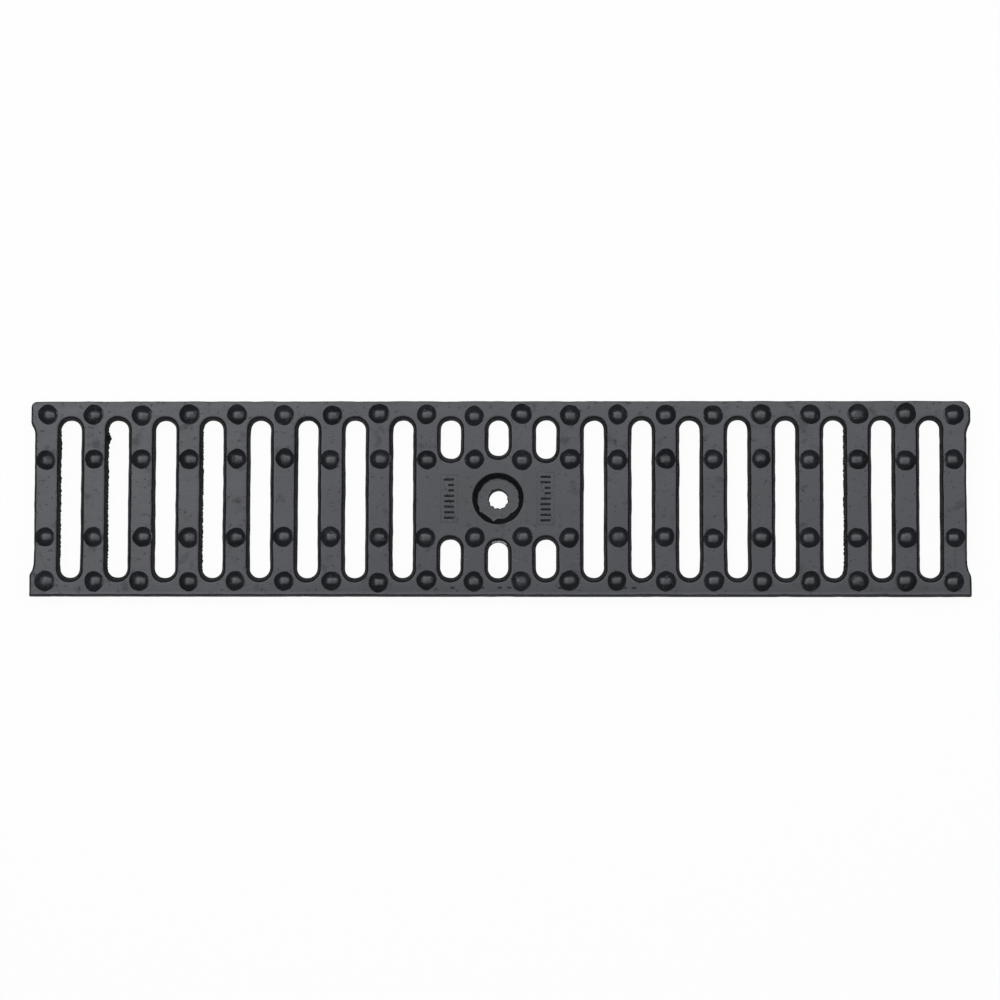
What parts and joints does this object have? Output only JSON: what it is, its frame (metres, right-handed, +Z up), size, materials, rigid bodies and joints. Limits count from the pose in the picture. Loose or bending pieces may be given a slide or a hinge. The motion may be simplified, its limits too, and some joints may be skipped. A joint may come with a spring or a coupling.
{
  "type": "channel drain grating",
  "caption": "Half-metre slotted cast-iron grating for a drainage channel, with domed anti-slip studs, corner lugs and a central bolt recess.",
  "frame": {"origin": "middle of the flat underside that rests on the channel's ledges", "axes": "+X along the grating, +Y across it, +Z up out of the walking surface"},
  "size_m": [0.5, 0.104, 0.0152],
  "materials": {
    "casting": "black gloss dip coat"
  },
  "bodies": {
    "root": {"grating": "casting"}
  },
  "joints": []
}
